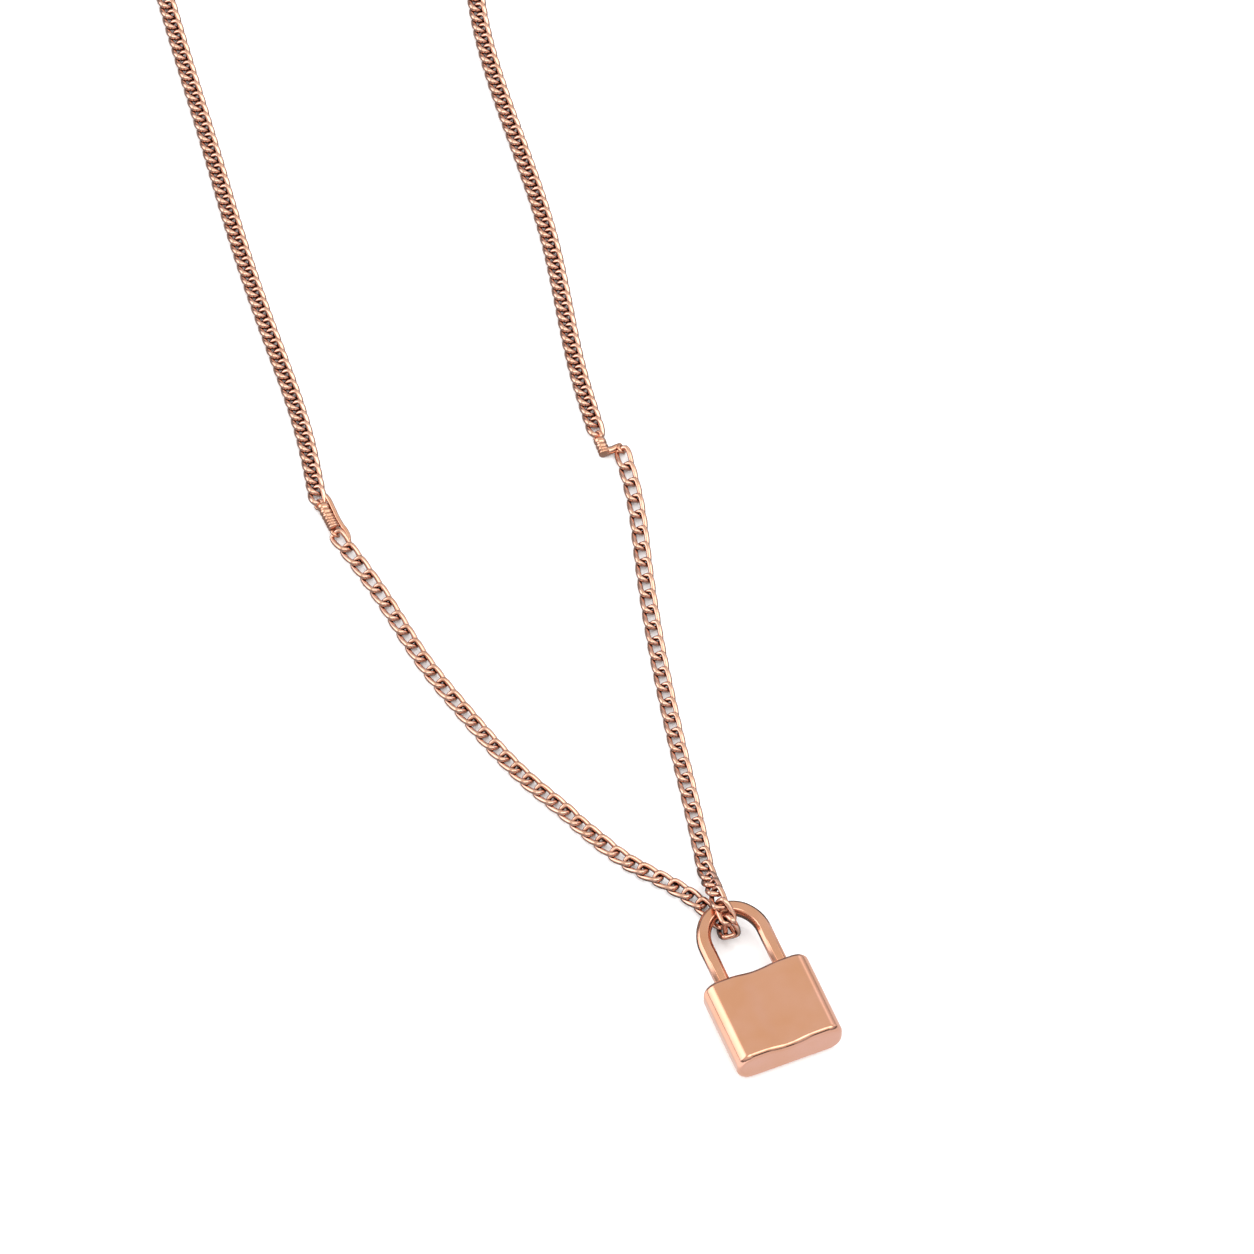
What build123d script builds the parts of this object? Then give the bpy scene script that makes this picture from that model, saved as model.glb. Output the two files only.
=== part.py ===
from build123d import *
import os
from collections import namedtuple
from math import cos, radians, sin, tan

# Padlock pendant on a curb chain, lying on its back. Millimetres: +X is the lock's right, +Y runs from the lock to
# its shackle and the chain, +Z comes out of its front. The origin is the middle of the lock's flat back.

# Padlock body
BODY_WIDTH = 13.5
BODY_HEIGHT = 11.5
BODY_DEPTH = 4.9
BACK_CORNER_RADIUS = 1.85
FRONT_CORNER_RADIUS = 2.05
WAIST_DEPTH = 0.5
WAIST_HALF_WIDTH = 3.2
BODY_EDGE_RADIUS = 0.7

# Shackle: a bar of rounded rectangular section
LEG_SPACING = 7.4
LEG_LENGTH = 5.85
ARCH_RISE = 4.2
ARCH_HAUNCH_ANGLE = 40
BAR_WIDTH = 1.75
BAR_DEPTH = 1.6
BAR_EDGE_RADIUS = 0.4
BAR_HEIGHT = 2.3
SOCKET_DEPTH = 2.5
SOCKET_CLEARANCE = 0.05

# Chain: round wire, twisted so that the links nest and the chain lies flat
LOWER_WIRE = 0.43
UPPER_WIRE = 0.5
LINK_GAP = 0.12
LOWER_LINK_WIDTH = 1.76
UPPER_LINK_WIDTH = 2.25
LOWER_LINK_LENGTH = 3.37
UPPER_LINK_LENGTH = 2.95
LINK_TWIST = -45
END_BEND_RADIUS = 0.42
SIDE_BEND_SHARE = 0.48
# Slack: the share by which the links lie closer than pulled straight, at the start and the end of a strand.
LOWER_SLACK = (0.0, 0.12)
UPPER_SLACK = (0.13, 0.09)

# Ribbed ends between the finer and the coarser chain
BARREL_RADIUS = 0.75
RIB_PITCH = 0.44
RIB_DEPTH = 0.1
HORN_RADIUS = 0.32
HORN_ROOT = 0.8
HORN_STEM = 0.45
EYE_WIRE = 0.36
EYE_STAND_OFF = 0.45
SOLDER_BEAD_RADIUS = 0.2

# Clasp at the back of the neck
CLASP_LENGTH = 6.0
CLASP_RADIUS = 0.95
CLASP_EDGE_RADIUS = 0.45

# Where the chain crosses the shackle: the middle of the bar at the top of its arch.
CROWN_Y = BODY_HEIGHT / 2 + LEG_LENGTH + ARCH_RISE

# Plan routes of the chain, chosen by hand, each point (x, y) measured from the crown of the shackle.
LEFT_EYE = (-22.6, 68.2)
LEFT_BARREL = ((-22.9, 72.3), (-22.75, 68.8))
RIGHT_EYE = (14.35, 66.2)
RIGHT_BARREL = ((12.3, 68.5), (12.15, 66.1))
CLASP_MIDDLE = (12.0, 183.5)
LOWER_LEFT_ROUTE = [(-21.5, 62.5), (-20.55, 56.2), (-19.55, 47.4), (-17.6, 38.3), (-13.65, 25.3)]
LOWER_RIGHT_ROUTE = [(13.2, 59.5), (10.9, 51.2), (7.8, 39.9), (4.5, 25.0)]
UPPER_LEFT_ROUTE = [(-21.0, 82.0), (-19.35, 98.0), (-17.7, 114.3), (-16.1, 126.0), (-12.95, 149.8),
                    (-10.4, 161.5), (-5.0, 173.5)]
UPPER_RIGHT_ROUTE = [(13.5, 77.6), (15.7, 88.1), (17.9, 98.6), (20.3, 119.7), (23.0, 135.0),
                     (27.9, 149.0), (30.4, 161.0), (28.2, 172.5)]

# Links that turn over and under the bar, from the left strand to the right one: the middle of each link from the
# crown, the way its length runs (heading in plan from +Y towards +X, then climb) and its roll about that length.
Seat = namedtuple("Seat", "x y z heading climb roll")
CROSSING = [
    Seat(-11.35, 19.99, 0.59, 160, 0, -2),
    Seat(-10.55, 17.93, 0.59, 157, 1, -5),
    Seat(-9.79, 16.18, 0.61, 156, 0, 0),
    Seat(-8.94, 14.31, 0.61, 155, 0, 2),
    Seat(-7.85, 12.19, 0.63, 150, 1, -7),
    Seat(-6.81, 10.43, 0.70, 147, 4, -5),
    Seat(-5.65, 8.74, 0.79, 144, 2, -3),
    Seat(-4.32, 6.97, 0.78, 144, -2, -6),
    Seat(-3.14, 5.28, 0.73, 147, -2, -4),
    Seat(-2.11, 3.52, 0.68, 152, -2, -1),
    Seat(-1.21, 1.60, 0.66, 158, -1, 0),
    Seat(-0.66, -0.16, 0.77, 163, 6, 9),
    Seat(-0.47, -2.20, 1.29, -180, 24, 29),
    Seat(0.10, -2.71, 2.52, 1, 69, -40),
    Seat(-0.05, -1.10, 3.70, -3, 18, -28),
    Seat(-0.14, 0.83, 3.76, 10, -9, -21),
    Seat(0.10, 2.73, 3.01, 13, -31, -17),
    Seat(0.38, 4.44, 1.86, 6, -35, -10),
    Seat(0.69, 6.26, 0.98, 5, -18, -6),
    Seat(1.10, 8.21, 0.66, 12, -3, -2),
    Seat(1.57, 10.30, 0.60, 12, 0, -1),
]


def arc_about(centre, start, end):
    """Shorter arc from start to end about a centre."""
    centre, start, end = Vector(*centre), Vector(*start), Vector(*end)
    way = (start - centre).normalized() + (end - centre).normalized()
    return ThreePointArc(start, centre + way.normalized() * (start - centre).length, end)


def make_lock_body():
    half = BODY_WIDTH / 2
    back = BACK_CORNER_RADIUS
    front = FRONT_CORNER_RADIUS
    waist = WAIST_HALF_WIDTH
    # The waist is an S on each side: two arcs of one radius that meet half way down.
    waist_arc = (waist ** 2 + WAIST_DEPTH ** 2) / (4 * WAIST_DEPTH)
    waist_mid = (waist / 2, 0, BODY_DEPTH - WAIST_DEPTH / 2)
    waist_floor = BODY_DEPTH - WAIST_DEPTH
    right_side = [
        Line((0, 0, 0), (half - back, 0, 0)),
        arc_about((half - back, 0, back), (half - back, 0, 0), (half, 0, back)),
        Line((half, 0, back), (half, 0, BODY_DEPTH - front)),
        arc_about((half - front, 0, BODY_DEPTH - front), (half, 0, BODY_DEPTH - front),
                  (half - front, 0, BODY_DEPTH)),
        Line((half - front, 0, BODY_DEPTH), (waist, 0, BODY_DEPTH)),
        arc_about((waist, 0, BODY_DEPTH - waist_arc), (waist, 0, BODY_DEPTH), waist_mid),
        arc_about((0, 0, waist_floor + waist_arc), waist_mid, (0, 0, waist_floor)),
    ]
    outline = right_side + [mirror(edge, about=Plane.YZ) for edge in right_side]
    body = extrude(make_face(outline), amount=BODY_HEIGHT / 2, both=True)
    ends = body.faces().filter_by(Axis.Y)
    body = fillet(ends.edges(), radius=BODY_EDGE_RADIUS)
    for side in (-1, 1):
        mouth = Plane(origin=(side * LEG_SPACING / 2, BODY_HEIGHT / 2, BAR_HEIGHT), x_dir=(1, 0, 0), z_dir=(0, 1, 0))
        socket = RectangleRounded(BAR_WIDTH + 2 * SOCKET_CLEARANCE, BAR_DEPTH + 2 * SOCKET_CLEARANCE,
                                  BAR_EDGE_RADIUS + SOCKET_CLEARANCE)
        body -= extrude(mouth * socket, amount=-SOCKET_DEPTH)
    return body.solid()


def arch_radii():
    """Radii of the arch's side arcs and of its top arc, which meet at the haunch angle."""
    half = LEG_SPACING / 2
    across = cos(radians(ARCH_HAUNCH_ANGLE))
    along = sin(radians(ARCH_HAUNCH_ANGLE))
    scale = 1 - along - across
    side = (half * (1 - along) - ARCH_RISE * across) / scale
    top = (ARCH_RISE * (1 - across) - half * along) / scale
    return side, top


def make_shackle():
    half = LEG_SPACING / 2
    foot_y = BODY_HEIGHT / 2 - SOCKET_DEPTH + SOCKET_CLEARANCE
    spring_y = BODY_HEIGHT / 2 + LEG_LENGTH
    side_radius, top_radius = arch_radii()
    top_centre = (0, CROWN_Y - top_radius, BAR_HEIGHT)
    haunch_x = top_radius * cos(radians(ARCH_HAUNCH_ANGLE))
    haunch_y = top_centre[1] + top_radius * sin(radians(ARCH_HAUNCH_ANGLE))
    crown = (0, CROWN_Y, BAR_HEIGHT)
    bends = []
    for side in (-1, 1):
        spring = (side * half, spring_y, BAR_HEIGHT)
        haunch = (side * haunch_x, haunch_y, BAR_HEIGHT)
        bends.append(Line((side * half, foot_y, BAR_HEIGHT), spring))
        bends.append(arc_about((side * (half - side_radius), spring_y, BAR_HEIGHT), spring, haunch))
        bends.append(arc_about(top_centre, haunch, crown))
    path = Wire(bends)
    foot = Plane(origin=(-half, foot_y, BAR_HEIGHT), x_dir=(1, 0, 0), z_dir=(0, 1, 0))
    section = foot * RectangleRounded(BAR_WIDTH, BAR_DEPTH, BAR_EDGE_RADIUS)
    return sweep(section, path=path).solid()


def bent_ring(corners, radii):
    """Closed wire of straight runs and arcs: one arc at each corner."""
    runs = []
    count = len(corners)
    bends = []
    for i, radius in enumerate(radii):
        corner = Vector(*corners[i])
        before = (Vector(*corners[i - 1]) - corner).normalized()
        after = (Vector(*corners[(i + 1) % count]) - corner).normalized()
        half_angle = radians(before.get_angle(after) / 2)
        reach = radius / tan(half_angle)
        centre = corner + (before + after).normalized() * (radius / sin(half_angle))
        bends.append((centre, corner + before * reach, corner + after * reach))
    for i, (centre, start, end) in enumerate(bends):
        runs.append(arc_about(centre, start, end))
        runs.append(Line(end, bends[(i + 1) % count][1]))
    return runs


def make_link(length, width, wire):
    """One twisted link, its length along X and its flat face up: its two ends lean opposite ways."""
    reach = (length - wire) / 2
    half = (width - wire) / 2
    flat = half * cos(radians(LINK_TWIST))
    lift = half * sin(radians(LINK_TWIST))
    corners = [(reach, flat, lift), (reach, -flat, -lift), (0, -half, 0),
               (-reach, -flat, lift), (-reach, flat, -lift), (0, half, 0)]
    side_bend = SIDE_BEND_SHARE * length
    runs = bent_ring(corners, [END_BEND_RADIUS, END_BEND_RADIUS, side_bend] * 2)
    middle = len(runs) // 2
    halves = []
    for piece in (runs[:middle], runs[middle:]):
        path = Wire(piece)
        start = Plane(origin=path.position_at(0), z_dir=path.tangent_at(0))
        halves.append(sweep(start * Circle(wire / 2), path=path))
    return (halves[0] + halves[1]).solid()


def rest_height(link):
    """Height of a link's middle when its lowest point touches the surface."""
    return -link.bounding_box().min.Z


def longest_pitch(length, wire):
    """Distance between links pulled straight, with the gap kept between their wires."""
    return length - 2 * wire - LINK_GAP


def eye_radius(wire):
    """Radius of an eye whose hole keeps the gap all round a link's wire."""
    return wire / 2 + LINK_GAP + EYE_WIRE / 2


def eye_to_link(length, wire):
    """Distance from an eye's middle to the middle of the link whose end lies there."""
    return (length - wire) / 2


def stations(first, last, pitch, slack):
    """Distances along a route of the links' middles, their slack changing evenly from start to end."""
    at_start, at_end = slack
    steps = []
    while sum(steps) < last - first:
        share = sum(steps) / (last - first)
        steps.append(pitch * (1 - at_start - (at_end - at_start) * share))
    shrink = (last - first) / sum(steps)
    places = [first]
    for step in steps:
        places.append(places[-1] + step * shrink)
    return places


def from_crown(point, z=0):
    return Vector(point[0], CROWN_Y + point[1], z)


def seat_frame(seat):
    """Plane of a link that is set by its heading, climb and roll."""
    heading, climb, roll = radians(seat.heading), radians(seat.climb), radians(seat.roll)
    along = Vector(sin(heading) * cos(climb), cos(heading) * cos(climb), sin(climb))
    upright = Vector(-sin(heading) * sin(climb), -cos(heading) * sin(climb), cos(climb))
    face = upright * cos(roll) + along.cross(upright) * sin(roll)
    return Plane(origin=from_crown((seat.x, seat.y), seat.z), x_dir=along, z_dir=face)


def lay_links(link, route, places):
    """Links laid flat along a route."""
    laid = []
    for place in places:
        middle = route.position_at(place, position_mode=PositionMode.LENGTH)
        along = route.tangent_at(place, position_mode=PositionMode.LENGTH)
        laid.append(link.moved(Plane(origin=middle, x_dir=along, z_dir=(0, 0, 1)).location))
    return laid


def eye(middle, pull, wire):
    """Ring for a link's end to hang in, square to that end, pulled along a plan direction."""
    up = Vector(0, 0, 1)
    lean = up.cross(pull) * sin(radians(LINK_TWIST)) + up * cos(radians(LINK_TWIST))
    ring = Torus(eye_radius(wire), EYE_WIRE / 2)
    return ring.moved(Plane(origin=middle, x_dir=pull, z_dir=pull.cross(lean)).location)


def ribbed_barrel(start, end):
    """Round barrel with rounded ribs, from start to end."""
    run = end - start
    count = max(1, round(run.length / RIB_PITCH))
    step = run.length / count
    groove = BARREL_RADIUS - RIB_DEPTH
    outline = [Line((0, 0), (0, groove))]
    for i in range(count):
        outline.append(ThreePointArc((i * step, groove), ((i + 0.5) * step, BARREL_RADIUS), ((i + 1) * step, groove)))
    outline.append(Line((run.length, groove), (run.length, 0)))
    outline.append(Line((run.length, 0), (0, 0)))
    barrel = revolve(make_face(outline), axis=Axis.X, revolution_arc=360)
    return barrel.moved(Plane(origin=start, x_dir=run, z_dir=(0, 0, 1)).location)


def upper_eye_middle(barrel, height):
    """Middle of the eye beyond the upper end of a ribbed barrel."""
    top, bottom = from_crown(barrel[0], height), from_crown(barrel[1], height)
    return top + (top - bottom).normalized() * EYE_STAND_OFF


def make_coil_end(barrel, upper, lower):
    """Ribbed barrel with an eye above, and a bent horn with an eye below, in one piece."""
    top, bottom = from_crown(barrel[0], BARREL_RADIUS), from_crown(barrel[1], BARREL_RADIUS)
    lower_pull = lower.tangent_at(0)
    root = bottom + (top - bottom).normalized() * HORN_ROOT
    tip = lower.position_at(0) - lower_pull * eye_radius(LOWER_WIRE)
    elbow = tip - lower_pull * HORN_STEM
    piece = ribbed_barrel(top, bottom) + Sphere(HORN_RADIUS).moved(Location(elbow))
    for start, end in ((root, elbow), (elbow, tip)):
        piece += extrude(Plane(origin=start, z_dir=end - start) * Circle(HORN_RADIUS), amount=(end - start).length)
    upper_pull = upper.tangent_at(0)
    solder = upper.position_at(0) - upper_pull * eye_radius(UPPER_WIRE)
    piece += eye(upper.position_at(0), upper_pull, UPPER_WIRE) + Sphere(SOLDER_BEAD_RADIUS).moved(Location(solder))
    piece += eye(lower.position_at(0), lower_pull, LOWER_WIRE)
    return piece.solid()


def clasp_eye_middle(side, height):
    """Middle of the clasp's eye on its left (-1) or right (1) side."""
    return from_crown((CLASP_MIDDLE[0] + side * (CLASP_LENGTH / 2 + EYE_STAND_OFF), CLASP_MIDDLE[1]), height)


def make_clasp(height):
    """Plain barrel clasp with an eye at each end."""
    middle = Plane(origin=from_crown(CLASP_MIDDLE, CLASP_RADIUS), z_dir=(1, 0, 0))
    barrel = extrude(middle * Circle(CLASP_RADIUS), amount=CLASP_LENGTH / 2, both=True)
    piece = fillet(barrel.faces().filter_by(Axis.X).edges(), radius=CLASP_EDGE_RADIUS)
    for side in (-1, 1):
        piece += eye(clasp_eye_middle(side, height), Vector(side, 0, 0), UPPER_WIRE)
    return piece.solid()


def lower_route(eye_point, bends, seat, height):
    """Route of the coarser chain from a ribbed end's eye to the first hand-set link."""
    spot = seat_frame(seat)
    points = [from_crown(point, height) for point in [eye_point, *bends]]
    points.append(Vector(spot.origin.X, spot.origin.Y, height))
    last_way = Vector(spot.x_dir.X, spot.x_dir.Y, 0).normalized()
    if last_way.dot(points[-1] - points[-2]) < 0:
        last_way = -last_way
    first_way = (points[1] - points[0]).normalized()
    return Spline(*points, tangents=[first_way, last_way])


def upper_route(barrel, bends, side, height):
    """Route of the finer chain from a ribbed end's upper eye, round the back, to the clasp's eye."""
    start = upper_eye_middle(barrel, height)
    points = [start] + [from_crown(point, height) for point in bends] + [clasp_eye_middle(side, height)]
    return Spline(*points, tangents=[(points[1] - start).normalized(), Vector(-side, 0, 0)])


def main():
    lower_link = make_link(LOWER_LINK_LENGTH, LOWER_LINK_WIDTH, LOWER_WIRE)
    upper_link = make_link(UPPER_LINK_LENGTH, UPPER_LINK_WIDTH, UPPER_WIRE)
    lower_height = rest_height(lower_link)
    upper_height = rest_height(upper_link)
    lower_left = lower_route(LEFT_EYE, LOWER_LEFT_ROUTE, CROSSING[0], lower_height)
    lower_right = lower_route(RIGHT_EYE, LOWER_RIGHT_ROUTE, CROSSING[-1], lower_height)
    upper_left = upper_route(LEFT_BARREL, UPPER_LEFT_ROUTE, -1, upper_height)
    upper_right = upper_route(RIGHT_BARREL, UPPER_RIGHT_ROUTE, 1, upper_height)

    lower_start = eye_to_link(LOWER_LINK_LENGTH, LOWER_WIRE)
    lower_links = [lower_link.moved(seat_frame(seat).location) for seat in CROSSING]
    for route in (lower_left, lower_right):
        places = stations(lower_start, route.length, longest_pitch(LOWER_LINK_LENGTH, LOWER_WIRE), LOWER_SLACK)
        lower_links += lay_links(lower_link, route, places[:-1])

    upper_start = eye_to_link(UPPER_LINK_LENGTH, UPPER_WIRE)
    upper_pitch = longest_pitch(UPPER_LINK_LENGTH, UPPER_WIRE)
    upper_links = []
    for route in (upper_left, upper_right):
        places = stations(upper_start, route.length - upper_start, upper_pitch, UPPER_SLACK)
        upper_links.append(lay_links(upper_link, route, places))

    pieces = {
        "lock_body": make_lock_body(),
        "shackle": make_shackle(),
        "lower_chain": Compound(lower_links),
        "upper_chain_left": Compound(upper_links[0]),
        "upper_chain_right": Compound(upper_links[1]),
        "coil_end_left": make_coil_end(LEFT_BARREL, upper_left, lower_left),
        "coil_end_right": make_coil_end(RIGHT_BARREL, upper_right, lower_right),
        "clasp": make_clasp(upper_height),
    }
    os.makedirs("parts", exist_ok=True)
    for name, piece in pieces.items():
        export_step(piece, f"parts/{name}.step")
        print(name, len(piece.solids()), "solids", round(piece.volume, 2), "mm3")
    length = sum(route.length for route in (lower_left, lower_right, upper_left, upper_right))
    print("routes", round(length, 1), "mm")


main()
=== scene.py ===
"""Padlock pendant on a curb chain, rose gold plated: the looks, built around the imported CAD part.

Sizes in this file are millimetres in the part's own frame: +X is the lock's right, +Y runs from the lock to
its shackle and the chain, +Z comes out of its front, and the origin is the middle of the lock's flat back.
"""

import logging
import math
from dataclasses import dataclass
from enum import Enum

import bmesh
import bpy
import numpy as np
from mathutils import Matrix, Vector

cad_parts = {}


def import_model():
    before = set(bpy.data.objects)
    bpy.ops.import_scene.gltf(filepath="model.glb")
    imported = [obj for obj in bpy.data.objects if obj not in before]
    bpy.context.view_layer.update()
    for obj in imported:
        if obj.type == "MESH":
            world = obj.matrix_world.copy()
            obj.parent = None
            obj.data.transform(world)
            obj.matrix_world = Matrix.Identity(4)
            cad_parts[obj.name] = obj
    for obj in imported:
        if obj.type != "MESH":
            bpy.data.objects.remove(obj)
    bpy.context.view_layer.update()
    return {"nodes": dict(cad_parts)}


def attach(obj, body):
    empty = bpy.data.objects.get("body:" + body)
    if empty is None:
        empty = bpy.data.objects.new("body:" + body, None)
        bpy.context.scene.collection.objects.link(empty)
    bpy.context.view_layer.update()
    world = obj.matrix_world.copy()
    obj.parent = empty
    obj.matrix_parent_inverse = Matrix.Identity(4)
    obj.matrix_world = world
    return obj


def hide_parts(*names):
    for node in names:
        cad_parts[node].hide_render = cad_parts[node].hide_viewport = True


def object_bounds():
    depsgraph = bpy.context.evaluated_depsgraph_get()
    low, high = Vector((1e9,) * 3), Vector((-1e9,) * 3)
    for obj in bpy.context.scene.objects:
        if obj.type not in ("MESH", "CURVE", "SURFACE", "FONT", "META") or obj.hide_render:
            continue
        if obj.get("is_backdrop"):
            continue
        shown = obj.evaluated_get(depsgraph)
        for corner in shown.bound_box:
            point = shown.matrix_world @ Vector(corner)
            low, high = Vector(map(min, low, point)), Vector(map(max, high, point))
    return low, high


# A place or direction, and a place with the radius of a bar there.
Point = tuple[float, float, float]
Knot = tuple[float, float, float, float]

LOG = logging.getLogger("pendant")
MM = 0.001
# The frame's only body.
BODY = "root"
# Between the middles of the shackle's legs, and how high they lie over the lock's back.
LEG_SPACING = 7.4
LEG_HEIGHT = 2.3
# Closer than this, two places are the same.
TOUCH = 0.001
# Rounding leaves this share of the radius of a six sided wire.
ROUNDED_HEXAGON = 0.8333
# Sections from one point of a smooth bar to the next.
BAR_STEPS = 4
# Weighted normals treat all faces alike at 50, and heed large ones more above it.
LARGE_FACES_WEIGHT = 80
# The part of a noise's range that is stretched to the whole of what it drives.
SOFT_NOISE = (0.35, 0.65)
FINE_NOISE = (0.3, 0.7)
# Where a Mix node that mixes colours has its two colours and its result.
MIX_FIRST, MIX_SECOND, MIX_RESULT = 6, 7, 2
UP = Vector((0, 0, 1))
WHITE = (1.0, 1.0, 1.0, 1.0)


def linear(hex_colour: str) -> tuple[float, float, float, float]:
    """Turns an sRGB hex colour to linear light.

    Args:
        hex_colour: Six hex digits, such as "E0AB98".

    Returns:
        Linear red, green, blue and an alpha of 1.
    """
    parts = [int(hex_colour[i : i + 2], 16) / 255 for i in (0, 2, 4)]
    red, green, blue = [p / 12.92 if p <= 0.04045 else ((p + 0.055) / 1.055) ** 2.4 for p in parts]
    return red, green, blue, 1.0


def add_node(
    tree: bpy.types.NodeTree, kind: str, settings: dict | None = None, inputs: dict | None = None
) -> bpy.types.Node:
    """Adds a node with its settings, values and links.

    Args:
        tree: The node tree it goes in.
        kind: The node's type name, such as "ShaderNodeBump".
        settings: Properties to set on the node.
        inputs: Input names or numbers, each with a value or with the output socket that feeds it.

    Returns:
        The new node.
    """
    node = tree.nodes.new(kind)
    for name, value in (settings or {}).items():
        setattr(node, name, value)
    for name, value in (inputs or {}).items():
        if isinstance(value, bpy.types.NodeSocket):
            tree.links.new(value, node.inputs[name])
        else:
            node.inputs[name].default_value = value
    return node


@dataclass(frozen=True)
class RoseGoldPlate:
    """Rose gold plating on brass, a true metal: its colour shows only in what it reflects.

    Attributes:
        name: Name of the material, after how the brass under the plate was finished.
        tone: sRGB hex of the plate where it is yellowest.
        blush: sRGB hex of the pinker patches, where the plate is thicker in copper.
        roughness: How far the polish blurs a reflection.
        haze: How much rougher the handled patches are.
        patch: Size of the patches of tone, in millimetres.
        ripple: Length of the slow waves left by polishing wheels, in millimetres.
        ripple_height: Height of those waves, in millimetres.
        grain: Size of the fine buffing marks, in millimetres.
        grain_height: Height of those marks, in millimetres.
        shade_gap: How near other metal darkens a place with painted shade, in millimetres, or 0 for none.
        painted_shade: sRGB hex of the painted shade deep in a narrow gap.
        openness: How open a place is, from 0 to 1, where it gets all of the painted shade and where none.
    """

    name: str
    tone: str
    blush: str
    roughness: float
    haze: float
    patch: float
    ripple: float
    ripple_height: float
    grain: float
    grain_height: float
    shade_gap: float = 0.0
    painted_shade: str = "5A1F0E"
    openness: tuple[float, float] = (0.35, 0.8)

    def material(self) -> bpy.types.Material:
        """Builds the material's nodes.

        Returns:
            The material, ready to assign.
        """
        material = bpy.data.materials.new(self.name)
        material.use_nodes = True
        tree = material.node_tree
        shader = tree.nodes["Principled BSDF"]
        shader.inputs["Metallic"].default_value = 1.0
        place = add_node(tree, "ShaderNodeTexCoord").outputs["Object"]
        patches = add_node(
            tree,
            "ShaderNodeTexNoise",
            inputs={"Vector": place, "Scale": 1 / (self.patch * MM), "Detail": 2.0},
        )
        spread = add_node(
            tree,
            "ShaderNodeMapRange",
            inputs={"Value": patches.outputs["Fac"], "From Min": SOFT_NOISE[0], "From Max": SOFT_NOISE[1]},
        )
        colour = add_node(
            tree,
            "ShaderNodeMix",
            {"data_type": "RGBA"},
            {
                "Factor": spread.outputs["Result"],
                MIX_FIRST: linear(self.tone),
                MIX_SECOND: linear(self.blush),
            },
        ).outputs[MIX_RESULT]
        # Painted shade: close to other metal, as where links cross and deep in grooves, the ambient occlusion
        # darkens the colour towards a dark brown that stands in for the shade there.
        if self.shade_gap:
            reach = add_node(
                tree,
                "ShaderNodeAmbientOcclusion",
                {"samples": 8, "only_local": True},
                {"Distance": self.shade_gap * MM},
            )
            open_share = add_node(
                tree,
                "ShaderNodeMapRange",
                inputs={
                    "Value": reach.outputs["AO"],
                    "From Min": self.openness[0],
                    "From Max": self.openness[1],
                },
            )
            colour = add_node(
                tree,
                "ShaderNodeMix",
                {"data_type": "RGBA"},
                {
                    "Factor": open_share.outputs["Result"],
                    MIX_FIRST: linear(self.painted_shade),
                    MIX_SECOND: colour,
                },
            ).outputs[MIX_RESULT]
        tree.links.new(colour, shader.inputs["Base Color"])
        marks = add_node(
            tree,
            "ShaderNodeTexNoise",
            inputs={"Vector": place, "Scale": 1 / (self.grain * MM), "Detail": 3.0},
        )
        polish = add_node(
            tree,
            "ShaderNodeMapRange",
            inputs={
                "Value": marks.outputs["Fac"],
                "From Min": FINE_NOISE[0],
                "From Max": FINE_NOISE[1],
                "To Min": self.roughness,
                "To Max": self.roughness + self.haze,
            },
        )
        tree.links.new(polish.outputs["Result"], shader.inputs["Roughness"])
        waves = add_node(
            tree,
            "ShaderNodeTexNoise",
            inputs={"Vector": place, "Scale": 1 / (self.ripple * MM), "Detail": 1.0},
        )
        slow = add_node(
            tree,
            "ShaderNodeBump",
            inputs={"Height": waves.outputs["Fac"], "Strength": 1.0, "Distance": self.ripple_height * MM},
        )
        fine = add_node(
            tree,
            "ShaderNodeBump",
            inputs={
                "Height": marks.outputs["Fac"],
                "Strength": 1.0,
                "Distance": self.grain_height * MM,
                "Normal": slow.outputs["Normal"],
            },
        )
        tree.links.new(fine.outputs["Normal"], shader.inputs["Normal"])
        return material


class Finish(Enum):
    """The finishes of the pendant, each from how its brass was worked before plating."""

    # A cast case, wheel polished: mirror-like, with slow waves and faint patches of pinker plate.
    CAST_POLISHED = RoseGoldPlate(
        "RosegoldCastPolished",
        tone="DFA68A", blush="E2AC97", roughness=0.13, haze=0.05, patch=5.0,
        ripple=3.2, ripple_height=0.012, grain=0.25, grain_height=0.0003,
    )
    # A drawn bar bent to a bow and buffed: a little softer along its flats.
    DRAWN_BAR = RoseGoldPlate(
        "RosegoldDrawnBar",
        tone="DBA388", blush="DFAA94", roughness=0.15, haze=0.05, patch=3.0,
        ripple=2.2, ripple_height=0.006, grain=0.2, grain_height=0.0003,
    )
    # Tumbled wire links: bright rails, lightly brushed by rubbing on each other, with painted shade where
    # they cross.
    TUMBLED_WIRE = RoseGoldPlate(
        "RosegoldTumbledWire",
        tone="E3B09A", blush="E9BBA9", roughness=0.13, haze=0.08, patch=1.6,
        ripple=0.5, ripple_height=0.002, grain=0.12, grain_height=0.0004, shade_gap=0.5,
    )
    # Close wound ribs: the same wire, duller, with painted shade deep in the grooves.
    WOUND_RIBS = RoseGoldPlate(
        "RosegoldWoundRibs",
        tone="E0A98E", blush="E6B49E", roughness=0.15, haze=0.08, patch=1.2,
        ripple=0.5, ripple_height=0.002, grain=0.12, grain_height=0.0005, shade_gap=0.4,
    )


class Dresser:
    """Gives each piece its finish, and makes each material once."""

    def __init__(self) -> None:
        """Starts with no material made."""
        self.made: dict[Finish, bpy.types.Material] = {}

    def dress(self, piece: bpy.types.Object, finish: Finish) -> None:
        """Puts a finish on a piece.

        Args:
            piece: The mesh object to dress.
            finish: The finish it takes.
        """
        if finish not in self.made:
            self.made[finish] = finish.value.material()
        piece.data.materials.clear()
        piece.data.materials.append(self.made[finish])


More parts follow.
